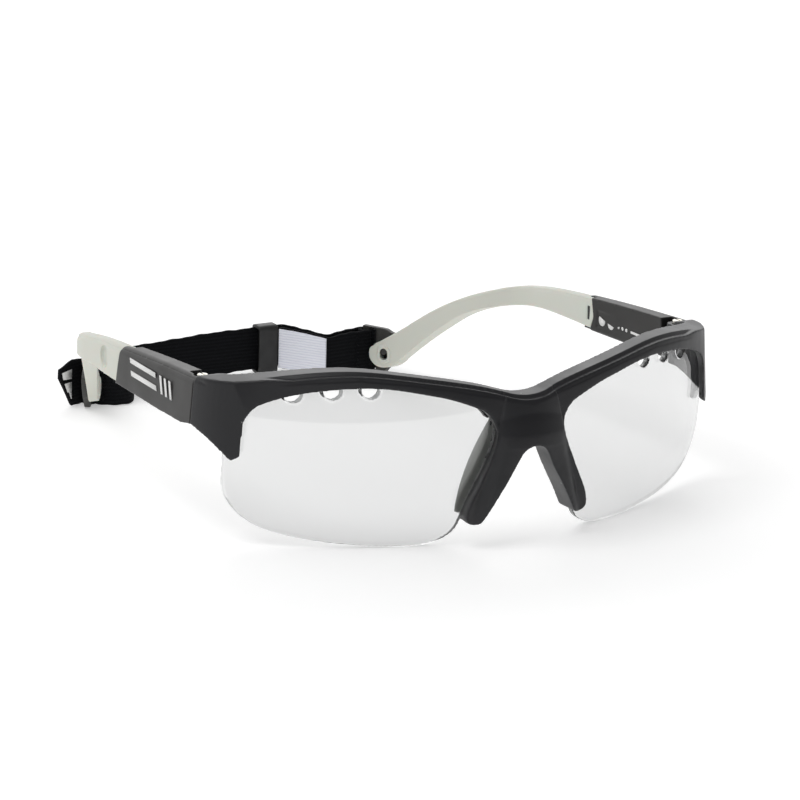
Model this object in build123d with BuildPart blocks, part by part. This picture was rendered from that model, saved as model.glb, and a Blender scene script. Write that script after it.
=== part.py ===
"""Sports protective goggles: half-rim front, two wrap lenses, folding temples and an elastic head strap.

Frame: +Z up from the surface the goggles stand on, the mirror plane is X = 0, the front looks
along -Y and the temples run back along +Y. Lengths are in millimetres.
"""
from build123d import *
from math import cos, radians, sin, sqrt, tan
import os

os.makedirs("parts", exist_ok=True)

# --- wrap of the front: every face of the front and the lenses is part of a ball about one point
WRAP_CENTRE = (0, 13.9, 26)
FACE_R = 96.9            # outside of the front
LENS_R = 94.75           # outside of the lenses
LENS_T = 2.0             # lens thickness
BACK_R = 91.0            # inside of the front
GROOVE_PLAY = 0.05       # gap on each side of a lens in its groove
NOSE_CENTRE = (0, -31.4, 15)
NOSE_R = 54.0            # the nose arms stand forward of the face, on a smaller ball
LUG_CENTRE = (42.3, -41.75)
LUG_R = 27.0             # upright round that turns the face back into the side of a lug
LUG_START_X = 58.0
PAD_R = 92.6             # the nose pads sit against the back of the nose arms, just behind the lenses
PAD_GAP = 0.05

# --- hinges and temples
SIDE_X = 68.9            # outside of a lug at the hinge
SEAM_Y = -46.2           # back of the front, where the temples butt against it
SEAM_GAP = 0.15
HINGE_X, HINGE_Y = 64.7, -43.9
KNUCKLE_R = 2.3
RELIEF_R = 2.65
BARREL_Z = (30.5, 34.7)  # the temple's knuckle, between the front's two
KNUCKLE_GAP = 0.15
LUG_BASE_Z, LUG_TOP_Z = 27.1, 37.3
SCREW_R, SCREW_HEAD_R = 0.75, 1.3
SCREW_PLAY = 0.05
SHELL_END = (66.6, -2.6)  # outside of the shell where the soft arm starts
SHELL_T = 4.4
ARM_T = 4.2
ARM_STEP = 0.25          # the arm stands this much proud of the shell
ARM_START_Y = -6.2
ARM_HEADING = (3, 27)    # degrees inward before and after the bend in plan
BEND_Y, BEND_R = 18.0, 30.0
TONGUE = (15, 5.0, 1.8)  # shell tongue inside the arm: length, height, thickness

# --- strap
TIP_Y = 63.0             # how far back a clip's own frame sits
PEG_S, PEG_Z = 2.4, 6.4  # peg, along the clip and up
PEG_W, PEG_H = 2.3, 3.1  # oval peg
PEG_BOSS = 0.9           # rim around the peg hole, on the inside of the arm
PEG_PLAY = 0.05
CLIP_T, CLIP_H = 1.6, 12.6
CLIP_FRONT, CLIP_BACK = -4.5, 10.2
SLOT = (5.8, 8.0)        # along the clip from the peg
BAR_S = 9.1
WEB_T, WEB_H, WEB_Z = 1.0, 11.0, 1.0
RING_R = 2.05            # middle of the webbing around a clip's bar
STRAP_Y = 81.1           # the straight run behind the head
RUN_LEFT, RUN_RIGHT = -20.5, 19.8
SLIDER_X, SLIDER_L, SLIDER_T, SLIDER_H = 16.4, 5.6, 4.6, 13.2
LAYER_GAP = 0.5
SOFT_GAP = 0.4           # left between two strap solids end to end


def ball(radius, centre=WRAP_CENTRE):
    return Pos(*centre) * Sphere(radius, mode=Mode.PRIVATE)


def from_front(y):
    """Sketch plane seen from the front, extruding towards -Y from y."""
    return Plane.XZ.offset(-y)


ACROSS_START = (cos(radians(ARM_HEADING[0])), sin(radians(ARM_HEADING[0])))   # outward from the arm
ACROSS_END = (cos(radians(ARM_HEADING[1])), sin(radians(ARM_HEADING[1])))
START_SLOPE, END_SLOPE = tan(radians(ARM_HEADING[0])), tan(radians(ARM_HEADING[1]))
BEND_X = SHELL_END[0] + ARM_STEP - START_SLOPE * (BEND_Y - ARM_START_Y)       # outside where the bend starts
BEND_CENTRE = (BEND_X - BEND_R * ACROSS_START[0], BEND_Y - BEND_R * ACROSS_START[1])
BEND_END = (BEND_CENTRE[0] + BEND_R * ACROSS_END[0], BEND_CENTRE[1] + BEND_R * ACROSS_END[1])


def arm_x(y):
    """Outside of a soft arm at this distance back."""
    if y < BEND_Y:
        return SHELL_END[0] + ARM_STEP - START_SLOPE * (y - ARM_START_Y)
    if y > BEND_END[1]:
        return BEND_END[0] - END_SLOPE * (y - BEND_END[1])
    return BEND_CENTRE[0] + sqrt(BEND_R ** 2 - (y - BEND_CENTRE[1]) ** 2)


# --- lenses ---------------------------------------------------------------------------------
VENTS = ((36.4, 36.1), (44.2, 35.8), (52.0, 34.9))   # lowest point of each vent notch
VENT_R = 1.9


def lens_outline():
    """Front view of a lens; its nose edge, top and upper side are buried in the front."""
    with BuildSketch() as outline:
        with BuildLine():
            nose = Spline((8.6, 33.0), (7.9, 28.5), (9.2, 21.7), (12.9, 13.0), (15.2, 5.6),
                          tangents=((-0.2, -1), (0.3, -1)))
            toe = Spline(nose @ 1, (19.0, 1.5), (27.0, 0), tangents=((0.3, -1), (1, 0)))
            foot = Spline(toe @ 1, (40.0, 0.75), (55.0, 3.6), tangents=((1, 0), (1, 0.32)))
            bend = TangentArc(foot @ 1, (63.3, 11.2), tangent=foot % 1)
            side = Spline(bend @ 1, (64.3, 19.0), (63.8, 30.5), tangents=(bend % 1, (-0.12, 1)))
            heel = TangentArc(side @ 1, (58.5, 36.6), tangent=side % 1)
            Spline(heel @ 1, (48.0, 40.1), (37.0, 41.0), (25.0, 39.3), (12.4, 35.2),
                   tangents=(heel % 1, (-1, -0.4)))
            Line((12.4, 35.2), nose @ 0)
        make_face()
    return outline.sketch


def lens_solid(outer, inner):
    with BuildPart() as solid:
        with BuildSketch(from_front(-44)):
            add(lens_outline())
        extrude(amount=50)
        add(ball(outer), mode=Mode.INTERSECT)
        add(ball(inner), mode=Mode.SUBTRACT)
    return solid.part


with BuildPart() as lens_right:
    add(lens_solid(LENS_R, LENS_R - LENS_T))
    with BuildSketch(from_front(-44)):
        for x, z in VENTS:
            with Locations((x, z + 6)):
                SlotOverall(12, 2 * VENT_R, rotation=90)
    extrude(amount=50, mode=Mode.SUBTRACT)

with BuildPart() as lens_left:
    add(mirror(lens_right.part, about=Plane.YZ))


# --- front ----------------------------------------------------------------------------------
HOLLOW_X = 62.2          # the wrap's hollow stops here; the lugs behind it are solid
LUG_EDGE_X = 69.4        # the outline runs just past the upright round
LUG_TOP_FRONT = (-62, 42.2)
LUG_TOP_BACK = (SEAM_Y + 2, LUG_TOP_Z + 0.7)
LUG_LOW_FRONT = (-58, 20.6)
LUG_LOW_MIDDLE = (-53.5, 24.2)
LUG_LOW_BACK = (-46.8, LUG_BASE_Z)


def front_outline():
    """Front view of the right half: brow bar, lug and nose arm."""
    with BuildSketch() as outline:
        with BuildLine():
            top = Spline((0, 35.4), (8.0, 37.1), (20.5, 39.9), (29.0, 41.3), (39.5, 42.4), (50.0, 41.7),
                         (58.0, 40.3), (LUG_EDGE_X, 38.4), tangents=((1, 0), (1, -0.16)))
            edge = Line(top @ 1, (LUG_EDGE_X, 26.4))
            lug = ThreePointArc(edge @ 1, (67.9, 24.6), (66.8, 22.6))
            tip = ThreePointArc(lug @ 1, (64.5, 20.8), (62.5, 22.6))
            side = Line(tip @ 1, (62.3, 29.0))
            bend = TangentArc(side @ 1, (58.6, 34.8), tangent=side % 1)
            brow = Spline(bend @ 1, (54.9, 36.4), (47.4, 38.2), (40.0, 38.9), (33.0, 38.6), (25.0, 37.1),
                          (12.8, 33.2), tangents=(bend % 1, (-1, -0.42)))
            corner = TangentArc(brow @ 1, (9.2, 28.6), tangent=brow % 1)
            arm = Spline(corner @ 1, (10.6, 21.7), (14.5, 13.0), (16.0, 8.6),
                         tangents=(corner % 1, (0.15, -1)))
            toe = ThreePointArc(arm @ 1, (14.5, 6.0), (12.2, 6.9))
            arch = Spline(toe @ 1, (8.1, 14.0), (4.6, 20.0), (0, 24.2), tangents=((-0.6, 1), (-1, 0)))
            Line(arch @ 1, top @ 0)
        make_face()
    return outline.sketch


with BuildPart() as wrap_hollow:
    add(ball(BACK_R))
    with Locations((0, 0, WRAP_CENTRE[2])):
        Box(2 * HOLLOW_X, 240, 120, mode=Mode.INTERSECT)

PAD_SEAT_TOP = 30.25      # the seats are cut from the back of the nose arms below this height

with BuildPart() as pad_seat:
    add(ball(PAD_R + PAD_GAP))
    with Locations((0, -75, PAD_SEAT_TOP / 2)):
        Box(36, 40, PAD_SEAT_TOP, mode=Mode.INTERSECT)

# the lugs slope down to the hinge on top and up to it below
with BuildPart() as lug_slopes:
    with BuildSketch(Plane.YZ.offset(-75)):
        with BuildLine():
            Polyline(LUG_TOP_FRONT, LUG_TOP_BACK, (LUG_TOP_BACK[0], 50), (LUG_TOP_FRONT[0], 50), close=True)
        make_face()
        with BuildLine():
            ThreePointArc(LUG_LOW_FRONT, LUG_LOW_MIDDLE, LUG_LOW_BACK)
            Polyline(LUG_LOW_BACK, (-40, LUG_BASE_Z), (-40, LUG_LOW_FRONT[1]), LUG_LOW_FRONT)
        make_face()
    extrude(amount=150)
    with Locations((0, -50, 40)):
        Box(2 * LUG_START_X, 60, 60, mode=Mode.SUBTRACT)

FACE_SPAN = (-10.6, LUG_START_X + 0.6)   # in x; from there on the lug is round seen from above

with BuildPart() as face_form:
    add(ball(FACE_R))
    with BuildSketch():
        with Locations((sum(FACE_SPAN) / 2, -60)):
            Rectangle(FACE_SPAN[1] - FACE_SPAN[0], 120)
        with Locations(LUG_CENTRE):
            Circle(LUG_R)
    extrude(amount=60, mode=Mode.INTERSECT)
    add(ball(NOSE_R, NOSE_CENTRE))


def hinge_post(z_low, z_high, radius):
    return Pos(HINGE_X, HINGE_Y, (z_low + z_high) / 2) * Cylinder(radius, z_high - z_low, mode=Mode.PRIVATE)


LOW_KNUCKLE = (LUG_BASE_Z, BARREL_Z[0] - KNUCKLE_GAP)
HIGH_KNUCKLE = (BARREL_Z[1] + KNUCKLE_GAP, LUG_TOP_Z)

with BuildPart() as front_half:
    with BuildSketch(from_front(SEAM_Y)):
        add(front_outline())
    extrude(amount=50)
    add(face_form.part, mode=Mode.INTERSECT)
    add(wrap_hollow.part, mode=Mode.SUBTRACT)
    add(pad_seat.part, mode=Mode.SUBTRACT)
    add(lug_slopes.part, mode=Mode.SUBTRACT)
    add(lens_solid(LENS_R + GROOVE_PLAY, LENS_R - LENS_T - GROOVE_PLAY), mode=Mode.SUBTRACT)
    add(hinge_post(20, 50, RELIEF_R), mode=Mode.SUBTRACT)
    for low, high in (LOW_KNUCKLE, HIGH_KNUCKLE):
        add(hinge_post(low, high, KNUCKLE_R))
        with Locations((HINGE_X - 0.2, (SEAM_Y - 1.5 + HINGE_Y) / 2, (low + high) / 2)):
            Box(3.8, HINGE_Y - SEAM_Y + 1.5, high - low)
    add(hinge_post(20, 50, SCREW_R), mode=Mode.SUBTRACT)

with BuildPart() as front_frame:
    add(front_half.part)
    add(mirror(front_half.part, about=Plane.YZ))


# --- nose pads ------------------------------------------------------------------------------
with BuildPart() as nose_pad_right:
    with BuildSketch(Plane.YZ):
        with BuildLine():
            heel = Spline((-80, 29.5), (-76.0, 26.0), (-73.9, 18.5), (-75.2, 11.0), (-79.5, 7.0),
                          tangents=((1, -0.2), (-1, -0.5)))
            Polyline(heel @ 1, (-84, 7.0), (-84, 29.5), heel @ 0)
        make_face()
    extrude(amount=40)
    with BuildSketch(from_front(-60)):
        with BuildLine():
            outer = Spline((9.2, 31.5), (10.2, 24.0), (13.0, 16.5), (15.4, 9.0), (14.9, 5.0))
            inner = Spline((12.2, 5.0), (11.4, 9.4), (8.6, 16.0), (6.6, 24.0), (6.8, 31.5))
            Line(outer @ 1, inner @ 0)
            Line(inner @ 1, outer @ 0)
        make_face()
    extrude(amount=30, mode=Mode.INTERSECT)
    add(ball(PAD_R), mode=Mode.INTERSECT)

with BuildPart() as nose_pad_left:
    add(mirror(nose_pad_right.part, about=Plane.YZ))


# --- hinge screws ---------------------------------------------------------------------------
with BuildPart() as hinge_screw_right:
    add(hinge_post(LUG_BASE_Z + 0.4, LUG_TOP_Z, SCREW_R - 0.001))
    add(hinge_post(LUG_TOP_Z, LUG_TOP_Z + 0.8, SCREW_HEAD_R))
    fillet(hinge_screw_right.edges().group_by(Axis.Z)[-1], 0.35)
    with Locations((HINGE_X, HINGE_Y, LUG_TOP_Z + 0.7)):
        Box(0.45, 2.8, 0.5, mode=Mode.SUBTRACT)

with BuildPart() as hinge_screw_left:
    add(mirror(hinge_screw_right.part, about=Plane.YZ))


# --- temple shells --------------------------------------------------------------------------
SHELL_FRONT_Y = SEAM_Y + SEAM_GAP
BARREL_MID = (BARREL_Z[0] + BARREL_Z[1]) / 2
SHELL_INNER_X = SHELL_END[0] - SHELL_T

with BuildPart() as temple_shell_right:
    # side view: the roof and the floor close in a little, the end slopes
    with BuildSketch(Plane.YZ.offset(50)):
        with BuildLine():
            roof = Spline((SHELL_FRONT_Y, 38.1), (-26.0, 37.1), (-4.4, 35.5))
            Polyline(roof @ 1, (-1.6, 26.6), (-26.0, 26.7), (SHELL_FRONT_Y, LUG_BASE_Z), roof @ 0)
        make_face()
    extrude(amount=30)
    with BuildSketch():
        with BuildLine():
            Polyline((SIDE_X, SEAM_Y - 1), (SHELL_END[0], SHELL_END[1] + 6),
                     (SHELL_INNER_X, SHELL_END[1] + 6), (SIDE_X - 5.6, HINGE_Y + 6), (SIDE_X - 5.6, SEAM_Y - 1), close=True)
        make_face()
    extrude(amount=60, mode=Mode.INTERSECT)
    # the inner half ends in a shallow notch
    with BuildSketch(Plane.YZ.offset(SHELL_INNER_X - 2)):
        with BuildLine():
            Polyline((-7.4, 36.5), (-8.6, 31.0), (-7.0, 26.0), (2, 26.0), (2, 36.5), close=True)
        make_face()
    extrude(amount=2 + SHELL_T / 2, mode=Mode.SUBTRACT)
    # recessed panel below the inner rib
    with BuildSketch(Plane.YZ.offset(SHELL_INNER_X - 1)):
        with BuildLine():
            Polyline((-36, 28.2), (-10, 28.2), (-10.6, 33.2), (-36, 34.0), close=True)
        make_face()
    extrude(amount=1.6, mode=Mode.SUBTRACT)
    # room for the front's knuckles, then the temple's own knuckle
    add(hinge_post(20, 50, RELIEF_R), mode=Mode.SUBTRACT)
    with Locations((60, (SEAM_Y + HINGE_Y) / 2 + 1, 32)):
        Box(2 * (HINGE_X + 1.9 - 60), HINGE_Y - SEAM_Y + 6.5, 30, mode=Mode.SUBTRACT)
    add(hinge_post(BARREL_Z[0], BARREL_Z[1], KNUCKLE_R))
    with Locations((HINGE_X + 1.6, HINGE_Y + 2.2, BARREL_MID)):
        Box(4.0, 4.4, BARREL_Z[1] - BARREL_Z[0])
    add(hinge_post(20, 50, SCREW_R + SCREW_PLAY), mode=Mode.SUBTRACT)
    # tongue that the soft arm is moulded over
    with Locations((SHELL_END[0] - SHELL_T / 2 - 0.7, SHELL_END[1] + TONGUE[0] / 2 - 3, 31.2)):
        Box(TONGUE[2], TONGUE[0] + 3, TONGUE[1])

with BuildPart() as temple_shell_left:
    add(mirror(temple_shell_right.part, about=Plane.YZ))


# --- soft arms ------------------------------------------------------------------------------
with BuildPart() as arm_blank:
    with BuildSketch(Plane.YZ.offset(20)):
        with BuildLine():
            back = Spline((-12, 35.6), (8.0, 34.3), (20.0, 32.7), (32.0, 29.6),
                          tangents=((1, -0.03), (1, -0.42)))
            slope = ThreePointArc(back @ 1, (44.0, 24.3), (54.5, 17.4))
            lobe_top = TangentArc(slope @ 1, (65.4, 9.4), tangent=slope % 1)
            lobe = ThreePointArc(lobe_top @ 1, (67.6, 5.9), (64.2, 2.6))
            lobe_low = ThreePointArc(lobe @ 1, (61.2, 3.4), (58.4, 5.9))
            rise = ThreePointArc(lobe_low @ 1, (51.0, 12.9), (43.0, 19.5))
            under = Spline(rise @ 1, (32.0, 24.9), (20.0, 27.0), (8.0, 27.2), (-12, 26.7),
                           tangents=(rise % 1, (-1, -0.03)))
            Line(under @ 1, back @ 0)
        make_face()
    extrude(amount=60)
    with BuildSketch():
        with BuildLine():
            leg = Line((arm_x(-14), -14), (arm_x(BEND_Y), BEND_Y))
            bow = TangentArc(leg @ 1, BEND_END, tangent=leg % 1)
            tail = Line(bow @ 1, (arm_x(75), 75))
            tip = Line(tail @ 1, tail @ 1 - Vector(*ACROSS_END) * ARM_T)
            tail_in = Line(tip @ 1, Vector(*BEND_END) - Vector(*ACROSS_END) * ARM_T)
            bow_in = TangentArc(tail_in @ 1, Vector(arm_x(BEND_Y), BEND_Y) - Vector(*ACROSS_START) * ARM_T,
                                tangent=tail_in % 1)
            leg_in = Line(bow_in @ 1, leg @ 0 - Vector(*ACROSS_START) * ARM_T)
            Line(leg_in @ 1, leg @ 0)
        make_face()
    extrude(amount=60, mode=Mode.INTERSECT)
    add(temple_shell_right.part, mode=Mode.SUBTRACT)
    with Locations((50, -24.4, 30)):
        Box(60, 30, 40, mode=Mode.SUBTRACT)

# frame of a strap clip: origin on the arm's outside near its tip, x towards the back, y inward
TIP_HEADING = radians(ARM_HEADING[1])
clip_plane = Plane(origin=(arm_x(TIP_Y), TIP_Y, 0), x_dir=(-sin(TIP_HEADING), cos(TIP_HEADING), 0),
                   z_dir=(0, 0, 1))
# the same place as a sketch plane that faces outward: x towards the back, y up
peg_plane = Plane(origin=clip_plane.from_local_coords((0, 0, PEG_Z)), x_dir=clip_plane.x_dir,
                  z_dir=-clip_plane.y_dir)

with BuildPart() as temple_arm_right:
    add(arm_blank.part)
    with BuildSketch(peg_plane.offset(0.6 - ARM_T)):
        with Locations((PEG_S, 0)):
            SlotOverall(PEG_H + 2 * PEG_BOSS, PEG_W + 2 * PEG_BOSS, rotation=90)
    extrude(amount=-1.2)
    with BuildSketch(peg_plane.offset(2)):
        with Locations((PEG_S, 0)):
            SlotOverall(PEG_H + 2 * PEG_PLAY, PEG_W + 2 * PEG_PLAY, rotation=90)
    extrude(amount=-(ARM_T + 4), mode=Mode.SUBTRACT)
    # blind D-shaped recess on the outside, just behind the shell
    with BuildSketch(Plane.YZ.offset(arm_x(6.0) - 0.9)):
        with BuildLine():
            Line((4.2, 29.2), (4.2, 32.5))
            ThreePointArc((4.2, 32.5), (8.3, 31.0), (4.2, 29.2))
        make_face()
    extrude(amount=4, mode=Mode.SUBTRACT)

with BuildPart() as temple_arm_left:
    add(mirror(temple_arm_right.part, about=Plane.YZ))


# --- strap clips ----------------------------------------------------------------------------
FACE_GAP = 0.1
PLATE_MID = -(FACE_GAP + CLIP_T / 2)

with BuildPart() as strap_clip_right:
    with BuildSketch(peg_plane.offset(FACE_GAP)):
        with BuildLine():
            nose = ThreePointArc((0, 5.2), (CLIP_FRONT, 0), (0, -4.6))
            heel = Spline(nose @ 1, (2.4, -5.4), (5.0, -PEG_Z), tangents=((1, 0), (1, 0)))
            Polyline(heel @ 1, (CLIP_BACK, -PEG_Z), (CLIP_BACK, CLIP_H - PEG_Z), (5.0, CLIP_H - PEG_Z))
            Spline((5.0, CLIP_H - PEG_Z), (2.4, 6.0), (0, 5.2), tangents=((-1, 0), (-1, 0)))
        make_face()
        slot_mid = (SLOT[0] + SLOT[1]) / 2
        with Locations((slot_mid, WEB_Z + WEB_H / 2 - PEG_Z)):
            Rectangle(SLOT[1] - SLOT[0], WEB_H + 0.4, mode=Mode.SUBTRACT)
    extrude(amount=CLIP_T)
    with BuildSketch(peg_plane.offset(FACE_GAP)):
        with Locations((PEG_S, 0)):
            SlotOverall(PEG_H, PEG_W, rotation=90)
    extrude(amount=-(ARM_T + FACE_GAP - 0.3))

with BuildPart() as strap_clip_left:
    add(mirror(strap_clip_right.part, about=Plane.YZ))


# --- strap webbing --------------------------------------------------------------------------
ring = clip_plane.from_local_coords((BAR_S, PLATE_MID, 0))
RING = (ring.X, ring.Y)
LAYER_Y = (STRAP_Y + (WEB_T + LAYER_GAP) / 2, STRAP_Y - (WEB_T + LAYER_GAP) / 2)


def around_bar(side):
    with Locations((side * RING[0], RING[1])):
        Circle(RING_R + WEB_T / 2)
        Circle(RING_R - WEB_T / 2, mode=Mode.SUBTRACT)


def webbing(points, radii, width=WEB_T):
    """Plan of a stretch of webbing standing on its edge, rounded at the inner points."""
    with BuildSketch() as plan:
        with BuildLine():
            FilletPolyline(*points, radius=radii)
        trace(line_width=width)
    return plan.sketch


web_plane = Plane.XY.offset(WEB_Z)

with BuildPart() as strap_left:
    with BuildSketch(web_plane):
        add(webbing([(-RING[0] + 0.6, RING[1] - RING_R), (-35.5, 65.8), (-29.6, 67.2),
                     (-24.0, LAYER_Y[0]), (RUN_LEFT - SOFT_GAP, LAYER_Y[0])], [4, 4, 2.2]))
        add(webbing([(-RING[0] - RING_R, RING[1] + 0.3), (-45.4, RING[1] - 1.6), (-49.8, 67.6)], [2]))
        around_bar(-1)
    extrude(amount=WEB_H)

with BuildPart() as strap_middle:
    with BuildSketch(web_plane):
        with BuildLine():
            Line((RUN_LEFT, LAYER_Y[0]), (RUN_RIGHT, LAYER_Y[0]))
        trace(line_width=WEB_T)
    extrude(amount=WEB_H)

INNER_BEND = (27.9, 68.0)
INNER_TOP = (RUN_RIGHT + SOFT_GAP, LAYER_Y[1] - 0.9)

with BuildPart() as strap_right:
    with BuildSketch(web_plane):
        add(webbing([(RING[0] - 0.4, RING[1] - RING_R), (34.6, 69.0), INNER_BEND, INNER_TOP], [5, 2.2]))
        add(webbing([(RING[0] - 0.4, RING[1] + RING_R), (35.6, 71.4), (29.8, 70.4),
                     (23.6, LAYER_Y[0]), (RUN_RIGHT + SOFT_GAP, LAYER_Y[0])], [4, 2.6, 1.6]))
        around_bar(1)
    extrude(amount=WEB_H)

with BuildPart() as strap_adjust:
    with BuildSketch(web_plane):
        with BuildLine():
            Line((SLIDER_X - 2.0, LAYER_Y[1]), (RUN_RIGHT, LAYER_Y[1]))
        trace(line_width=WEB_T)
    extrude(amount=WEB_H)

# woven grip patch on the inside of the doubled stretch
PATCH_T, PATCH_H = 0.4, 10.4
patch_side = Vector(INNER_TOP[1] - INNER_BEND[1], INNER_BEND[0] - INNER_TOP[0]).normalized()
patch_out = patch_side * -(WEB_T + PATCH_T) / 2

with BuildPart() as strap_patch:
    along = Vector(*INNER_TOP) - Vector(*INNER_BEND)
    low = Vector(*INNER_BEND) + along * 0.04 + patch_out
    high = Vector(*INNER_BEND) + along * 0.97 + patch_out
    with BuildSketch(Plane.XY.offset(WEB_Z + (WEB_H - PATCH_H) / 2)):
        with BuildLine():
            Line((low.X, low.Y), (high.X, high.Y))
        trace(line_width=PATCH_T)
    extrude(amount=PATCH_H)

with BuildPart() as strap_slider:
    with BuildSketch(Plane.YZ.offset(SLIDER_X - SLIDER_L / 2)):
        with Locations((STRAP_Y, SLIDER_H / 2)):
            RectangleRounded(SLIDER_T, SLIDER_H, 1.2)
        with Locations((STRAP_Y, WEB_Z + WEB_H / 2)):
            Rectangle(2 * WEB_T + LAYER_GAP + 0.8, WEB_H + 0.5, mode=Mode.SUBTRACT)
    extrude(amount=SLIDER_L)


pieces = {
    "front_frame": front_frame,
    "lens_right": lens_right,
    "lens_left": lens_left,
    "nose_pad_right": nose_pad_right,
    "nose_pad_left": nose_pad_left,
    "hinge_screw_right": hinge_screw_right,
    "hinge_screw_left": hinge_screw_left,
    "temple_shell_right": temple_shell_right,
    "temple_shell_left": temple_shell_left,
    "temple_arm_right": temple_arm_right,
    "temple_arm_left": temple_arm_left,
    "strap_clip_right": strap_clip_right,
    "strap_clip_left": strap_clip_left,
    "strap_left": strap_left,
    "strap_middle": strap_middle,
    "strap_right": strap_right,
    "strap_adjust": strap_adjust,
    "strap_patch": strap_patch,
    "strap_slider": strap_slider,
}
for node, piece in pieces.items():
    piece.part.label = node
    export_step(piece.part, f"parts/{node}.step")
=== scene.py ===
"""Sports protective goggles: the looks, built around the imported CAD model."""
import bpy
import numpy as np
from math import atan2, cos, pi, radians, sin
from mathutils import Matrix, Vector


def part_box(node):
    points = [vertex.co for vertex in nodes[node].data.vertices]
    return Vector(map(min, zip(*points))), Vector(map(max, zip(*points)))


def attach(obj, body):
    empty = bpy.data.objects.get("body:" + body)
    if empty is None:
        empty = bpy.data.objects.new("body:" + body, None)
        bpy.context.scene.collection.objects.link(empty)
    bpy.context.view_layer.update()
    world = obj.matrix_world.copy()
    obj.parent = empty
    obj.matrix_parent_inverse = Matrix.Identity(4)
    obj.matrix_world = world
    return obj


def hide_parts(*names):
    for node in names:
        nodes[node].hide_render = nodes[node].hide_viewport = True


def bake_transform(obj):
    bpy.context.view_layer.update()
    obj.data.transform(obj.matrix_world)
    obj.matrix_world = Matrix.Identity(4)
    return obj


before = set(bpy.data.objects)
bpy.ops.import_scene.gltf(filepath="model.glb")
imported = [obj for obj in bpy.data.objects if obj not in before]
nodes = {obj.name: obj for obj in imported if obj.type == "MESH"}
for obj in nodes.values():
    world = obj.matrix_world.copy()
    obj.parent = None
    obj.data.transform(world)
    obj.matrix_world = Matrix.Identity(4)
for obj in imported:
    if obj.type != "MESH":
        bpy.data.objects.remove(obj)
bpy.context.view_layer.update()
MM = 0.001
scene = bpy.context.scene
WRAP_CENTRE = np.array((0, 13.9, 26.0))   # every face of the front and the lenses is on a ball about this
FACE_R, LENS_R, LENS_T, BACK_R = 96.9, 94.75, 2.0, 91.0


# --- materials -------------------------------------------------------------------------------
class Finish:
    """A Principled material and the few procedural nodes it is built from."""

    def __init__(self, name, colour, rough, slot=None, **settings):
        self.slot = slot
        self.material = bpy.data.materials.new(name)
        self.material.use_nodes = True
        self.tree = self.material.node_tree
        self.shader = self.tree.nodes["Principled BSDF"]
        self.colour = (*colour, 1.0)
        self.shader.inputs["Base Color"].default_value = self.colour
        self.shader.inputs["Roughness"].default_value = rough
        for key, value in settings.items():
            self.shader.inputs[key.replace("_", " ")].default_value = value

    def node(self, kind, **inputs):
        made = self.tree.nodes.new("ShaderNode" + kind)
        for key, value in inputs.items():
            key = key.replace("_", " ")
            if isinstance(value, bpy.types.NodeSocket):
                self.tree.links.new(value, made.inputs[key])
            else:
                made.inputs[key].default_value = value
        return made

    def coordinates(self, kind="Object"):
        return self.node("TexCoord").outputs[kind]

    def noise(self, scale, detail=3.0, at=None):
        at = at or self.coordinates()
        return self.node("TexNoise", Vector=at, Scale=scale, Detail=detail).outputs["Fac"]

    def ramp(self, value, low, high, to_low, to_high):
        made = self.node("MapRange", Value=value)
        for key, number in (("From Min", low), ("From Max", high), ("To Min", to_low), ("To Max", to_high)):
            made.inputs[key].default_value = number
        return made.outputs["Result"]

    def math(self, operation, a, b=0.0):
        made = self.tree.nodes.new("ShaderNodeMath")
        made.operation = operation
        for place, value in enumerate((a, b)):
            if isinstance(value, bpy.types.NodeSocket):
                self.tree.links.new(value, made.inputs[place])
            else:
                made.inputs[place].default_value = value
        return made.outputs[0]

    def link(self, value, socket):
        self.tree.links.new(value, self.shader.inputs[socket])

    def bump(self, height, strength, distance, under=None):
        made = self.node("Bump", Height=height, Strength=strength, Distance=distance * MM)
        if under is not None:
            self.tree.links.new(under, made.inputs["Normal"])
        self.link(made.outputs["Normal"], "Normal")
        return made.outputs["Normal"]

    def mix(self, factor, a, b):
        made = self.tree.nodes.new("ShaderNodeMix")
        made.data_type = "RGBA"
        self.tree.links.new(factor, made.inputs["Factor"])
        for place, value in ((6, a), (7, b)):
            if isinstance(value, bpy.types.NodeSocket):
                self.tree.links.new(value, made.inputs[place])
            else:
                made.inputs[place].default_value = value
        return made.outputs[2]

    def wear(self, rough_low, rough_high, spread=90.0):
        """Uneven sheen, as on handled plastic."""
        self.link(self.ramp(self.noise(spread, 5.0), 0.3, 0.7, rough_low, rough_high), "Roughness")

    def specks(self, colour, scale, size):
        """A few grains of dust."""
        cells = self.tree.nodes.new("ShaderNodeTexVoronoi")
        self.tree.links.new(self.coordinates(), cells.inputs["Vector"])
        cells.inputs["Scale"].default_value = scale
        near = self.math("LESS_THAN", cells.outputs["Distance"], size)
        few = self.math("GREATER_THAN", self.noise(scale * 0.45, 0.0), 0.56)
        self.link(self.mix(self.math("MULTIPLY", near, few), self.colour, (*colour, 1.0)), "Base Color")


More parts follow.
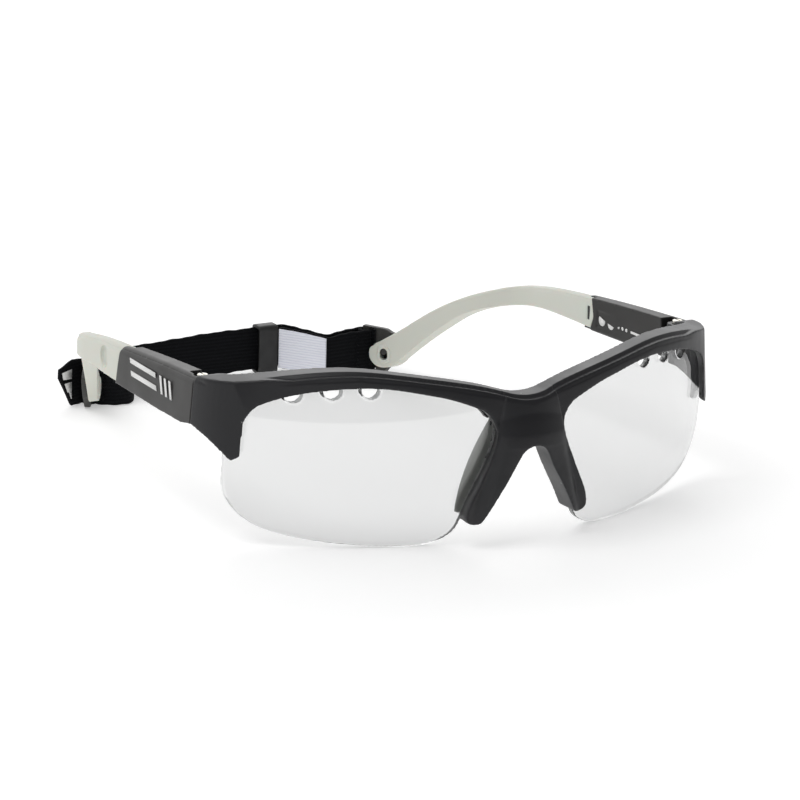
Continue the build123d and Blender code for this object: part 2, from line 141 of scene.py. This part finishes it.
def make_finishes():
    made = {}
    front = Finish("front_black", (0.011, 0.011, 0.013), 0.4, "front_plastic", Specular_IOR_Level=0.38)
    front.wear(0.36, 0.46)
    front.bump(front.noise(5200.0, 2.0), 0.22, 0.02)
    front.specks((0.3, 0.31, 0.3), 240.0, 0.045)
    made["front"] = front

    shell = Finish("temple_black", (0.016, 0.015, 0.0142), 0.42, "temple_plastic", Specular_IOR_Level=0.36)
    shell.wear(0.38, 0.48)
    shell.bump(shell.noise(5200.0, 2.0), 0.22, 0.02)
    shell.specks((0.25, 0.25, 0.24), 200.0, 0.035)
    made["shell"] = shell

    arm = Finish("soft_arm", (0.63, 0.64, 0.575), 0.55, "arm_rubber", Subsurface_Weight=0.12, Subsurface_Scale=0.002)
    arm.wear(0.5, 0.62, 60.0)
    arm.bump(arm.noise(3800.0, 3.0), 0.25, 0.03)
    made["arm"] = arm

    pad = Finish("nose_rubber", (0.43, 0.445, 0.42), 0.42, "nose_pad", Transmission_Weight=0.2, IOR=1.43)
    pad.wear(0.38, 0.5)
    pad.bump(pad.noise(2600.0, 3.0), 0.2, 0.03)
    made["pad"] = pad

    clip = Finish("clip_black", (0.032, 0.031, 0.028), 0.45, "clip_plastic")
    clip.wear(0.4, 0.55)
    clip.bump(clip.noise(3600.0, 3.0), 0.3, 0.03)
    made["clip"] = clip
    ladder = Finish("slider_black", (0.012, 0.012, 0.012), 0.5, "clip_plastic")
    ladder.wear(0.42, 0.62, 300.0)
    ladder.bump(ladder.noise(2500.0, 3.0), 0.2, 0.02)
    made["ladder"] = ladder

    steel = Finish("screw_steel", (0.72, 0.7, 0.64), 0.24, "screw_steel", Metallic=1.0)
    steel.wear(0.16, 0.34, 700.0)
    steel.bump(steel.noise(3000.0, 2.0), 0.15, 0.02)
    made["steel"] = steel

    lens = Finish("clear_lens", (0.76, 0.763, 0.763), 0.0, "lens", Transmission_Weight=1.0, IOR=1.585)
    lens.wear(0.0, 0.025, 50.0)
    made["lens"] = lens
    edge = Finish("lens_edge", (0.42, 0.43, 0.43), 0.3, "lens", Transmission_Weight=0.6, IOR=1.585)
    edge.wear(0.22, 0.4, 300.0)
    made["edge"] = edge

    # elastic webbing: ribs along its length and a cross weave, laid out by the strip's own length and height
    def woven(name, colour, thread, slot, rib, pick, rough, sheen):
        cloth = Finish(name, colour, rough, slot, Sheen_Weight=sheen, Sheen_Roughness=0.4, Specular_IOR_Level=0.12)
        parts = cloth.node("SeparateXYZ", Vector=cloth.coordinates("UV"))
        along, up = parts.outputs["X"], parts.outputs["Y"]
        ribs = cloth.math("SINE", cloth.math("MULTIPLY", up, 2 * pi / (rib * MM)))
        picks = cloth.math("SINE", cloth.math("MULTIPLY", along, 2 * pi / (pick * MM)))
        weave = cloth.math("ADD", ribs, cloth.math("MULTIPLY", cloth.math("MULTIPLY", picks, ribs), 0.8))
        fuzz = cloth.math("MULTIPLY", cloth.noise(2600.0, 4.0), 1.2)
        cloth.bump(cloth.math("ADD", weave, fuzz), 0.4, 0.1)
        cloth.link(cloth.mix(cloth.ramp(weave, -1.2, 1.4, 0.0, 1.0), cloth.colour, (*thread, 1.0)), "Base Color")
        return cloth, along, up

    made["web"] = woven("webbing_black", (0.002, 0.0023, 0.003), (0.006, 0.0065, 0.008), "webbing", 0.95, 0.5, 0.9, 0.03)[0]
    made["patch"] = woven("grip_patch", (0.74, 0.755, 0.85), (0.9, 0.91, 0.97), "grip_patch", 0.7, 0.35, 0.8, 0.2)[0]
    mark = Finish("printed_white", (0.8, 0.8, 0.79), 0.5)
    mark.wear(0.42, 0.6, 400.0)
    mark.bump(mark.noise(5000.0, 2.0), 0.2, 0.01)
    made["mark"] = mark
    thread = Finish("thread_black", (0.02, 0.02, 0.022), 0.6, None, Sheen_Weight=0.3)
    thread.bump(thread.noise(4500.0, 2.0), 0.5, 0.05)
    made["thread"] = thread
    return made


finishes = make_finishes()


# --- mesh helpers, in millimetres -------------------------------------------------------------
def step(value, low, high):
    t = np.clip((value - low) / (high - low), 0, 1)
    return t * t * (3 - 2 * t)


def read_points(mesh):
    points = np.empty(3 * len(mesh.vertices), np.float32)
    mesh.vertices.foreach_get("co", points)
    return points.reshape(-1, 3).astype(float) / MM


def read_normals(mesh):
    normals = np.empty(3 * len(mesh.vertices), np.float32)
    mesh.vertices.foreach_get("normal", normals)
    return normals.reshape(-1, 3).astype(float)


def write_points(mesh, points):
    mesh.vertices.foreach_set("co", (points * MM).astype(np.float32).ravel())
    mesh.update()


def finish_piece(obj, finish, body, node=None):
    made = finishes[finish]
    obj.data.materials.clear()
    obj.data.materials.append(made.material)
    obj.data.polygons.foreach_set("use_smooth", [True] * len(obj.data.polygons))
    obj.data.update()
    if body:
        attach(obj, body)
    if node:
        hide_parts(node)
    return obj


def new_piece(name, verts, faces, uvs=None):
    mesh = bpy.data.meshes.new(name)
    mesh.from_pydata((np.asarray(verts, float) * MM).tolist(), [], faces)
    if uvs is not None:
        layer = mesh.uv_layers.new(name="strip")
        index = np.empty(len(mesh.loops), np.int32)
        mesh.loops.foreach_get("vertex_index", index)
        layer.data.foreach_set("uv", (np.asarray(uvs, float)[index] * MM).astype(np.float32).ravel())
    obj = bpy.data.objects.new(name, mesh)
    scene.collection.objects.link(obj)
    return obj


def rounded_copy(node, name, voxel, rounds, shape=None):
    """A moulded version of a CAD piece: fine even mesh, edges worn round, then shaped by a function."""
    obj = bpy.data.objects.new(name, nodes[node].data.copy())
    scene.collection.objects.link(obj)
    weld = obj.modifiers.new("weld", "WELD")
    weld.merge_threshold = 0.002 * MM
    remesh = obj.modifiers.new("remesh", "REMESH")
    remesh.mode, remesh.voxel_size = "VOXEL", voxel * MM
    smooth = obj.modifiers.new("smooth", "SMOOTH")
    smooth.factor, smooth.iterations = 0.5, rounds
    bpy.context.view_layer.update()
    made = bpy.data.meshes.new_from_object(obj.evaluated_get(bpy.context.evaluated_depsgraph_get()))
    obj.modifiers.clear()
    obj.data = made
    obj.data.name = name
    if shape:
        write_points(made, shape(read_points(made), read_normals(made)))
    return obj


def round_edge(points, from_side, from_top, radius, weight=1.0):
    """Rounds a long upper edge, given how far each point is in from the side and down from the top.
    A negative weight rounds the inner edge, with from_side measured from the inner side."""
    a, b = np.maximum(radius - from_side, 1e-6), np.maximum(radius - from_top, 1e-6)
    scale = np.where((from_side < radius) & (from_top < radius), np.maximum(a, b) / np.hypot(a, b), 1.0)
    points[:, 0] -= np.sign(points[:, 0]) * a * (1 - scale) * weight
    points[:, 2] -= b * (1 - scale) * np.abs(weight)
    return points


# --- front and lenses -------------------------------------------------------------------------
TOP_LINE = np.array(((0, 35.4), (8.0, 37.1), (20.5, 39.9), (29.0, 41.3), (39.5, 42.4), (50.0, 41.7), (58.0, 40.3), (70, 38.3)))
# the ridge beside the nose panel, going down each nose arm: (height, distance from the middle)
CREASE_LINE = np.array(((8, 14.2), (10, 13.6), (15.4, 11.9), (21, 10.0), (24.6, 9.2), (29, 8.3), (32.8, 7.5), (36.5, 6.6), (40, 5.9)))
ARM_EDGE = np.array(((6, 15.8), (8.6, 16.0), (13.0, 14.5), (21.7, 10.6), (28.6, 9.2), (31, 9.8)))    # lens side of a nose arm
BULGE = np.array(((18, 0), (20, 0.3), (24, 1.2), (30, 1.2), (37, 0.6)))         # of the nose panel, by height
VALLEY = np.array(((7, 0.5), (12, 0.9), (18, 0.8), (24, 0.25), (27, 0)))        # along the ridge of an arm


def lean(points, weight):
    """The sides lean in a little towards the top."""
    points[:, 0] -= np.sign(points[:, 0]) * 0.085 * (points[:, 2] - 29.0) * weight
    return points


def shape_front(points, normals):
    """Steps the brow's front edge down behind a narrow lip and raises the panel over the nose."""
    side = np.abs(points[:, 0])
    from_centre = points - WRAP_CENTRE
    reach = np.linalg.norm(from_centre, axis=1)
    outward = from_centre / reach[:, None]
    height = np.interp(side, TOP_LINE[:, 0], TOP_LINE[:, 1])
    crease = np.interp(points[:, 2], CREASE_LINE[:, 0], CREASE_LINE[:, 1])
    height_in = points[:, 2].copy()
    depth = step(reach, 91.5, 95.5)
    lip = step(reach, 95.35, 95.65) * step(height_in, height - 2.2, height - 0.5) * (1 - step(side, 52.0, 58.5))
    points[:, 2] -= 0.8 * lip
    panel = step(crease - side, -0.12, 0.16) * step(height_in, 23.0, 27.0)
    bulge = np.interp(height_in, BULGE[:, 0], BULGE[:, 1]) * np.clip(1 - (side / crease) ** 2, 0, 1)
    valley = np.interp(height_in, VALLEY[:, 0], VALLEY[:, 1]) * np.exp(-((side - crease) / 1.3) ** 2)
    arm_edge = np.interp(height_in, ARM_EDGE[:, 0], ARM_EDGE[:, 1])
    undercut = step(side, arm_edge - 2.0, arm_edge - 0.6) * (1 - step(side, arm_edge + 0.8, arm_edge + 2.0))
    undercut *= (1 - step(reach, 94.8, 98.6)) * (1 - step(height_in, 26.0, 31.0)) * step(height_in, 4.0, 9.0)
    points += outward * ((0.34 * panel + bulge - valley) * depth)[:, None]
    points[:, 0] -= np.sign(points[:, 0]) * 0.9 * undercut
    points = round_edge(points, 69.2 - side, height - height_in, 1.6, step(side, 60.0, 64.0))
    return lean(points, step(side, 59.5, 66.0))


front = rounded_copy("front_frame", "brow_frame", 0.27, 6, shape_front)
finish_piece(front, "front", "front", "front_frame")


def shape_lens(points, normals):
    """Puts both faces of a lens exactly on their balls, so that it reflects and bends light cleanly."""
    from_centre = points - WRAP_CENTRE
    reach = np.linalg.norm(from_centre, axis=1)
    outward = from_centre / reach[:, None]
    facing = np.abs((outward * normals).sum(1))
    target = np.where(reach > LENS_R - LENS_T / 2, LENS_R, LENS_R - LENS_T)
    reach = reach + (target - reach) * step(facing, 0.75, 0.97)
    return WRAP_CENTRE + outward * reach[:, None]


def shape_pad(points, normals):
    """Leaves a fine dark gap between the pad and its seat, and draws the pad out along the arm."""
    from_centre = points - WRAP_CENTRE
    reach = np.linalg.norm(from_centre, axis=1)
    points = points - from_centre / reach[:, None] * (0.35 * step(reach, 91.4, 92.4))[:, None]
    longer = 0.17 * (points[:, 2] - 18.9)
    points[:, 2] += longer
    points[:, 0] -= np.sign(points[:, 0]) * 0.42 * longer
    return points


def grey_edge(lens):
    """The cut edge of a lens shows as a thin grey line."""
    lens.data.materials.append(finishes["edge"].material)
    count = len(lens.data.polygons)
    centres, normals = np.empty(3 * count, np.float32), np.empty(3 * count, np.float32)
    lens.data.polygons.foreach_get("center", centres)
    lens.data.polygons.foreach_get("normal", normals)
    outward = centres.reshape(-1, 3) / MM - WRAP_CENTRE
    outward /= np.linalg.norm(outward, axis=1)[:, None]
    facing = np.abs((outward * normals.reshape(-1, 3)).sum(1))
    lens.data.polygons.foreach_set("material_index", (facing < 0.6).astype(np.int32))


for side in ("left", "right"):
    lens = rounded_copy(f"lens_{side}", f"clear_lens_{side}", 0.32, 3, shape_lens)
    finish_piece(lens, "lens", "front", f"lens_{side}")
    grey_edge(lens)
    pad = rounded_copy(f"nose_pad_{side}", f"soft_nose_pad_{side}", 0.2, 12, shape_pad)
    finish_piece(pad, "pad", "front", f"nose_pad_{side}")
    screw = nodes[f"hinge_screw_{side}"]
    screw.data.materials.clear()
    screw.data.materials.append(finishes["steel"].material)


# --- temples ----------------------------------------------------------------------------------
SHELL_FACE = np.array(((68.9, -47.2), (66.6, 3.4)))     # plan of the shells' flat outer face
RECESS_X = 62.8


ARM_PLAN = np.array(((-12, 67.1), (18, 65.6), (24, 64.9), (30, 62.4), (68, 43.0)))   # (y, outside x), nearly


SHELL_ROOF = np.array(((-46.2, 38.1), (-26, 37.1), (-4.4, 35.5), (11, 34.2)))
ARM_ROOF = np.array(((-12, 35.6), (8, 34.3), (20, 32.7), (32, 29.6), (38, 27.1), (44, 24.3), (54.5, 17.4), (66, 8.4)))


def slope_floor(points, outside, thick, low, high, weight):
    """The underside slopes: its outer edge hangs lower than its inner edge."""
    inward = np.clip((outside - np.abs(points[:, 0])) / thick, 0, 1)
    points[:, 2] += (low + (high - low) * inward) * step(-points[:, 2], -31.5, -27.0) * weight
    return points


def shape_shell(points, normals):
    outside = np.interp(points[:, 1], SHELL_FACE[:, 1], SHELL_FACE[:, 0])
    roof = np.interp(points[:, 1], SHELL_ROOF[:, 0], SHELL_ROOF[:, 1])
    points = round_edge(points, outside - np.abs(points[:, 0]), roof - points[:, 2], 1.9)
    points = slope_floor(points, outside, 5.6, -0.8, 1.1, step(points[:, 1], -46.6, -40.0))
    return lean(points, 1 - step(points[:, 1], -44.0, 2.0))


def flex(points):
    """The strap pulls the end of the left arm in a little further than the right one."""
    back = np.clip((points[:, 1] - 20.0) / 51.5, 0, 1.1)
    points[:, 0] += np.where(points[:, 0] < 0, 2.8 * back ** 1.5, 0)
    return points


def thin_end(points, outside):
    """The arms get thinner towards their ends, and so do the clips' pegs in them."""
    inward = np.clip(outside - np.abs(points[:, 0]), 0, 9)
    points[:, 0] += np.sign(points[:, 0]) * inward * 0.42 * step(points[:, 1], 36.0, 62.0)
    return points


def shape_arm(points, normals):
    outside = np.interp(points[:, 1], ARM_PLAN[:, 0], ARM_PLAN[:, 1])
    roof = np.interp(points[:, 1], ARM_ROOF[:, 0], ARM_ROOF[:, 1])
    side = np.abs(points[:, 0])
    points = round_edge(points, outside - side, roof - points[:, 2], 1.7)
    points = round_edge(points, side - outside + 4.2, roof - points[:, 2], 1.3, -1.0)
    points = slope_floor(points, outside, 4.2, -0.8, 1.1, 1 - step(points[:, 1], 10.0, 34.0))
    return flex(thin_end(points, outside))


def shape_clip(points, normals):
    """Rounds off the clip's low front corner, under the arm."""
    floor = np.interp(points[:, 1], (58.5, 63.0, 66.0), (7.5, 2.5, 0.0))
    points[:, 2] = floor + points[:, 2] * (12.6 - floor) / 12.6
    outside = np.interp(points[:, 1], ARM_PLAN[:, 0], ARM_PLAN[:, 1])
    peg = points[:, 1] < 66.0
    points[peg] = thin_end(points[peg], outside[peg])
    return flex(points)


def plate(name, outlines, place, thickness=0.05):
    """Thin raised print: each outline is a list of (along, up) points; place() puts them on the surface."""
    verts, faces = [], []
    for outline in outlines:
        base = len(verts)
        count = len(outline)
        for lift in (-thickness, thickness):
            verts += [place(a, u, lift) for a, u in outline]
        faces.append([base + count + i for i in range(count)])
        faces.append([base + i for i in reversed(range(count))])
        faces += [[base + i, base + (i + 1) % count, base + count + (i + 1) % count, base + count + i] for i in range(count)]
    return new_piece(name, verts, faces)


def on_left_shell(y, z, lift):
    x = np.interp(y, SHELL_FACE[:, 1], SHELL_FACE[:, 0])
    return (-(x + lift), y, z)


def on_right_recess(y, z, lift):
    return (RECESS_X - lift, y, z)


def bars(start, low, high, widths, gap, slant):
    made = []
    y = start
    for width in widths:
        made.append([(y, low), (y + width, low), (y + width - slant, high), (y - slant, high)])
        y += width + gap
    return made


def disc(y, z, radius, count=24):
    return [(y + radius * cos(2 * pi * i / count), z + radius * sin(2 * pi * i / count)) for i in range(count)]


for side in ("left", "right"):
    body = f"temple_{side}"
    shell = rounded_copy(f"temple_shell_{side}", f"shell_{side}", 0.2, 14, shape_shell)
    finish_piece(shell, "shell", body, f"temple_shell_{side}")
    arm = rounded_copy(f"temple_arm_{side}", f"soft_arm_{side}", 0.2, 5, shape_arm)
    finish_piece(arm, "arm", body, f"temple_arm_{side}")
    clip = rounded_copy(f"strap_clip_{side}", f"clip_{side}", 0.16, 6, shape_clip)
    finish_piece(clip, "clip", body, f"strap_clip_{side}")

mark_bars = bars(-35.5, 30.1, 34.3, (1.1, 1.1, 1.1), 1.5, -1.0) + bars(-26.6, 30.1, 31.3, (15.0,), 0, -0.3)
mark_bars += bars(-26.0, 33.1, 34.3, (15.0,), 0, -0.3)
outer_mark = plate("mark_outer", mark_bars, on_left_shell)
finish_piece(outer_mark, "mark", "temple_left")
inner_outlines = [disc(-12.6, 31.0, 1.5), disc(-16.8, 31.0, 1.5)]
inner_outlines += [disc(-20.4, 31.0, 0.45), disc(-22.2, 31.0, 0.45), disc(-24.0, 31.0, 0.45)]
inner_outlines += bars(-34.0, 30.7, 31.3, (8.0,), 0, 0)
inner_mark = plate("mark_inner", inner_outlines, on_right_recess)
finish_piece(inner_mark, "mark", "temple_right")


# --- strap ------------------------------------------------------------------------------------
WEB_T = 1.0
BAR_R = 2.05
LAYER_OUT, LAYER_IN = 81.85, 80.35


def bar_centre(side):
    """Middle of the clip's bar in plan, taken from the webbing ring around it."""
    low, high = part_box("strap_right")
    centre = np.array(((side * (high[0] / MM - BAR_R - WEB_T / 2), BAR_Y, 0.0),))
    return flex(centre)[0, :2]


BAR_Y = 71.5
TAIL_START, TAIL_END = np.array((-44.8, 70.0)), np.array((-49.8, 67.6))


def web_low(x):
    """Lower edge of the webbing: it hangs lowest on the left."""
    return np.interp(x, (-50, -45.6, -20, 0, 20, 28, 50), (8.6, 0.25, 0.15, 0.4, 1.3, 0.9, 0.9))


def web_high(x):
    return np.interp(x, (-50, -45, -40, -20, 0, 20, 24, 29, 36, 50), (10.7, 12.6, 11.5, 11.0, 12.2, 12.5, 12.2, 11.3, 11.9, 11.5))


def rounded_path(points, radii):
    """Plan line through points with rounded corners, at even steps."""
    points = [np.array(p, float) for p in points]
    line = [points[0]]
    for before, corner, after, radius in zip(points, points[1:], points[2:], radii):
        a = (before - corner) / np.linalg.norm(before - corner)
        b = (after - corner) / np.linalg.norm(after - corner)
        half = np.arccos(np.clip(a @ b, -1, 1)) / 2
        reach = radius / np.tan(half)
        centre = corner + (a + b) / np.linalg.norm(a + b) * radius / np.sin(half)
        start, end = corner + a * reach - centre, corner + b * reach - centre
        turn = atan2(start[0] * end[1] - start[1] * end[0], start @ end)
        first = atan2(start[1], start[0])
        line += [centre + radius * np.array((cos(first + turn * t), sin(first + turn * t))) for t in np.linspace(0, 1, 14)]
    line.append(points[-1])
    line = np.array(line)
    length = np.concatenate(([0], np.cumsum(np.linalg.norm(np.diff(line, axis=0), axis=1))))
    keep = np.concatenate(([True], np.diff(length) > 1e-6))
    count = max(3, int(length[-1] / 0.35))
    even = np.linspace(0, length[-1], count)
    return np.stack([np.interp(even, length[keep], line[keep, i]) for i in (0, 1)], 1)


def strip(path, closed=False, low=web_low, high=web_high, thickness=WEB_T, wave=0.12):
    """Verts, faces and strip coordinates of a stretch of webbing standing on its edge."""
    count = len(path)
    ahead = np.roll(path, -1, 0) if closed else np.vstack((path[1:], 2 * path[-1] - path[-2]))
    behind = np.roll(path, 1, 0) if closed else np.vstack((2 * path[0] - path[1], path[:-1]))
    tangent = ahead - behind
    tangent /= np.linalg.norm(tangent, axis=1)[:, None]
    across = np.stack((-tangent[:, 1], tangent[:, 0]), 1)
    length = np.concatenate(([0], np.cumsum(np.linalg.norm(np.diff(path, axis=0), axis=1))))
    # section: up one face, over a rounded edge, down the other, under
    radius = thickness / 2
    ring = []
    for t in np.linspace(0, 1, 15):
        ring.append((radius, t, 0.0))
    for angle in np.linspace(0, pi, 7)[1:-1]:
        ring.append((radius * cos(angle), 1.0, radius * sin(angle) * 0.6))
    for t in np.linspace(1, 0, 15):
        ring.append((-radius, t, 0.0))
    for angle in np.linspace(pi, 2 * pi, 7)[1:-1]:
        ring.append((radius * cos(angle), 0.0, radius * sin(angle) * 0.6))
    ring = np.array(ring)
    section = len(ring)
    low_edge = low(path[:, 0]) + 0.6 * radius
    high_edge = high(path[:, 0]) - 0.6 * radius
    ripple = wave * np.sin(length * 1.15) * np.sin(length * 0.37 + 1.0)
    z = low_edge[:, None] + (high_edge - low_edge)[:, None] * ring[None, :, 1] + ring[None, :, 2]
    z += ripple[:, None] * (2 * ring[None, :, 1] - 1)
    bow = wave * np.sin(length * 0.8)[:, None] * (ring[None, :, 1] - 0.5)
    offset = ring[None, :, 0] + bow
    verts = np.stack((path[:, None, 0] + across[:, None, 0] * offset, path[:, None, 1] + across[:, None, 1] * offset, z), 2)
    uvs = np.stack((np.repeat(length[:, None], section, 1), z), 2)
    faces = []
    for i in range(count if closed else count - 1):
        j = (i + 1) % count
        for k in range(section):
            n = (k + 1) % section
            faces.append([i * section + k, j * section + k, j * section + n, i * section + n])
    if not closed:
        faces.append(list(range(section)))
        faces.append([(count - 1) * section + k for k in reversed(range(section))])
    return verts.reshape(-1, 3), faces, uvs.reshape(-1, 2), float(length[-1])


def zigzag(path, at, low, high, thickness, thread=0.16, turns=9):
    """Bar tack: a zigzag of thread sewn through a strip at this point of its path, on both faces."""
    i = int(at * (len(path) - 2))
    here, tangent = path[i], path[i + 1] - path[i]
    tangent = tangent / np.linalg.norm(tangent)
    across = np.array((-tangent[1], tangent[0]))
    verts, faces = [], []
    for face in (-1, 1):
        knots = []
        for n in range(turns + 1):
            shift = 0.55 if n % 2 else -0.55
            xy = here + tangent * shift + across * face * (thickness / 2 + 0.02)
            knots.append(np.array((*xy, low + (high - low) * n / turns)))
        for a, b in zip(knots, knots[1:]):
            d = (b - a) / np.linalg.norm(b - a)
            u = np.cross(d, (*across, 0))
            w = np.array((*across, 0))
            base = len(verts)
            for end in (a, b):
                verts += [end + thread * (cos(q) * u + sin(q) * w) for q in np.arange(6) * pi / 3]
            faces += [[base + q, base + (q + 1) % 6, base + 6 + (q + 1) % 6, base + 6 + q] for q in range(6)]
            faces += [[base + q for q in range(5, -1, -1)], [base + 6 + q for q in range(6)]]
    return np.array(verts), faces


def join(parts):
    verts, faces, uvs, total = [], [], [], 0
    for part in parts:
        base = sum(len(v) for v in verts)
        verts.append(part[0])
        faces += [[base + i for i in f] for f in part[1]]
        uvs.append(part[2] if len(part) > 2 else np.zeros((len(part[0]), 2)))
        total += part[3] if len(part) > 3 else 0
    return np.vstack(verts), faces, np.vstack(uvs), total


def ring_path(centre, radius):
    angles = np.linspace(0, 2 * pi, 40, endpoint=False)
    return centre + radius * np.stack((np.cos(angles), np.sin(angles)), 1)


def on_tail(along, up, lift):
    """On the forward face of the left half's free end, measured from its tip."""
    run = (TAIL_START - TAIL_END) / np.linalg.norm(TAIL_START - TAIL_END)
    out = np.array((run[1], -run[0]))
    at = TAIL_END + run * along + out * (WEB_T / 2 + 0.04 + lift)
    return (at[0], at[1], up)


def make_strap():
    left, right = bar_centre(-1), bar_centre(1)
    # left half: round the clip's bar, a short folded tail, and the run behind the head
    main = rounded_path([(left[0] + 0.6, left[1] - BAR_R), (-35.5, 65.0), (-29.2, 66.6), (-24.0, LAYER_OUT),
                         (-20.5, LAYER_OUT)], [4.5, 5, 2.4])
    tail = rounded_path([(left[0] - BAR_R, left[1] + 0.3), TAIL_START, TAIL_END], [1.5])
    parts = [strip(main), strip(ring_path(left, BAR_R), closed=True), strip(tail)]
    parts += [zigzag(main, 0.1, 1.6, 10.2, WEB_T)]
    verts, faces, uvs, total = join(parts)
    obj = new_piece("webbing_left", verts, faces, uvs)
    finish_piece(obj, "web", None, "strap_left")
    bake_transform(obj)

    blocks = plate("mark_tail", [[(0.5, 9.8), (1.0, 7.9), (4.4, 7.6), (4.4, 10.2)], [(1.5, 6.8), (2.7, 4.3), (4.4, 4.1), (4.4, 6.8)], [(3.2, 4.3), (4.1, 2.3), (4.4, 2.3), (4.4, 4.3)]],
                   on_tail, 0.03)
    finish_piece(blocks, "mark", "temple_left")

    middle = strip(rounded_path([(-20.5, LAYER_OUT), (19.8, LAYER_OUT)], []))
    obj = new_piece("webbing_middle", *middle[:3])
    finish_piece(obj, "web", "front", "strap_middle")

    inner = rounded_path([(right[0] - 0.4, right[1] - BAR_R), (34.6, 69.0), (27.9, 68.0), (19.8, LAYER_IN - 1.2)], [4, 2.2])
    outer = rounded_path([(right[0] - 0.4, right[1] + BAR_R), (35.6, 71.9), (29.8, 70.6), (22.6, LAYER_OUT),
                          (19.8, LAYER_OUT)], [4, 2.6, 1.4])
    parts = [strip(inner), strip(outer), strip(ring_path(right, BAR_R), closed=True)]
    parts += [zigzag(inner, 0.16, 2.0, 10.8, WEB_T)]
    verts, faces, uvs, total = join(parts)
    obj = new_piece("webbing_right", verts, faces, uvs)
    finish_piece(obj, "web", None, "strap_right")
    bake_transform(obj)

    adjust = strip(rounded_path([(14.4, LAYER_IN), (19.8, LAYER_IN)], []))
    obj = new_piece("webbing_adjust", *adjust[:3])
    finish_piece(obj, "web", None, "strap_adjust")
    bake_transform(obj)

    # sewn grip patch on the inside of the doubled stretch
    bend, top = np.array((27.9, 68.0)), np.array((19.8, LAYER_IN - 1.2))
    run = top - bend
    out = np.array((run[1], -run[0])) / np.linalg.norm(run) * -(WEB_T + 0.4) / 2
    line = rounded_path([bend - run * 0.02 + out, bend + run * 0.99 + out], [])
    patch = strip(line, low=lambda x: web_low(x) + 0.15, high=lambda x: web_high(x) - 0.35, thickness=0.4, wave=0.03)
    obj = new_piece("patch", *patch[:3])
    finish_piece(obj, "patch", None, "strap_patch")
    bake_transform(obj)

    slider = rounded_copy("strap_slider", "slider", 0.16, 8)
    finish_piece(slider, "ladder", "slider", "strap_slider")


make_strap()


# --- camera, floor and light -----------------------------------------------------------------
def make_camera():
    """A long lens, a little above the goggles and to their left, rolled by a degree and a half."""
    azimuth, elevation, roll = radians(-29.541), radians(15.0), radians(1.4865)
    back = Vector((sin(azimuth) * cos(elevation), -cos(azimuth) * cos(elevation), sin(elevation)))
    right = Vector((cos(azimuth), sin(azimuth), 0))
    up = back.cross(right)
    rolled_right = cos(roll) * right + sin(roll) * up
    rolled_up = cos(roll) * up - sin(roll) * right
    data = bpy.data.cameras.new("camera")
    data.lens, data.sensor_width = 180, 36
    data.clip_start, data.clip_end = 0.05, 20
    camera = bpy.data.objects.new("camera", data)
    turn = Matrix((rolled_right, rolled_up, back)).transposed()
    camera.matrix_world = Matrix.Translation(Vector((-461.69, -836.28, 270.25)) * MM) @ turn.to_4x4()
    scene.collection.objects.link(camera)
    scene.camera = camera


def area_light(name, place, target, size, power, colour=(1, 1, 1)):
    data = bpy.data.lights.new(name, "AREA")
    data.shape, data.size, data.size_y = "RECTANGLE", size[0], size[1]
    data.energy, data.color = power, colour
    light = bpy.data.objects.new(name, data)
    light.location = Vector(place)
    light.rotation_mode = "QUATERNION"
    light.rotation_quaternion = (Vector(place) - Vector(target)).to_track_quat("Z", "Y")
    scene.collection.objects.link(light)


def make_light():
    """White studio: bright above and behind, dimmer in front, so that dark faces keep their shape."""
    world = bpy.data.worlds.new("studio")
    scene.world = world
    world.use_nodes = True
    tree = world.node_tree
    background = tree.nodes["Background"]
    where = tree.nodes.new("ShaderNodeTexCoord")
    parts = tree.nodes.new("ShaderNodeSeparateXYZ")
    tree.links.new(where.outputs["Generated"], parts.inputs["Vector"])
    ramp = tree.nodes.new("ShaderNodeMapRange")
    for key, number in (("From Min", -0.9), ("From Max", 0.35), ("To Min", 0.18), ("To Max", 0.62)):
        ramp.inputs[key].default_value = number
    tree.links.new(parts.outputs["Y"], ramp.inputs["Value"])
    band = tree.nodes.new("ShaderNodeMapRange")
    for key, number in (("From Min", 0.55), ("From Max", 0.9), ("To Min", 0.0), ("To Max", 0.75)):
        band.inputs[key].default_value = number
    tree.links.new(parts.outputs["Y"], band.inputs["Value"])
    total = tree.nodes.new("ShaderNodeMath")
    tree.links.new(ramp.outputs["Result"], total.inputs[0])
    tree.links.new(band.outputs["Result"], total.inputs[1])
    tree.links.new(total.outputs[0], background.inputs["Strength"])
    background.inputs["Color"].default_value = (1, 1, 1, 1)
    scene.view_settings.view_transform = "Standard"
    area_light("key", (-0.5, -0.1, 0.9), (0, 0, 0.02), (0.7, 0.5), 3.2)
    area_light("front", (-0.75, -1.3, 0.14), (0, -0.07, 0.035), (1.2, 0.2), 1.7)
    area_light("rim", (0.5, 0.7, 0.6), (0, 0, 0.02), (0.6, 0.4), 1.6)


def make_floor():
    """White table round the goggles, which glows with painted light of its own to wash out shadows and keep the
    background white; beyond its front edge it is dark and does not glow, which the lenses and the front reflect.
    """
    bpy.ops.mesh.primitive_plane_add(size=12, location=(0, 0, 0))
    floor = bpy.context.object
    floor.name = "floor"
    pale = Finish("glowing_floor_white", (0.8, 0.8, 0.8), 0.9, None, Emission_Color=(1, 1, 1, 1))
    pale.wear(0.8, 0.95, 4.0)
    parts = pale.node("SeparateXYZ", Vector=pale.coordinates("Object"))
    across = pale.math("MULTIPLY", parts.outputs["X"], 0.447)
    ahead = pale.math("MULTIPLY", parts.outputs["Y"], 0.894)
    to_edge = pale.math("ADD", across, ahead)
    # painted light: the white part of the floor glows (emission strength 0.39), though it is no lamp
    pale.link(pale.ramp(to_edge, -0.262, -0.248, 0.0, 0.39), "Emission Strength")
    pale.link(pale.mix(pale.ramp(to_edge, -0.262, -0.248, 0.0, 1.0), (0.12, 0.12, 0.12, 1.0), (0.8, 0.8, 0.8, 1.0)), "Base Color")
    floor.data.materials.append(pale.material)


make_camera()
make_light()
make_floor()
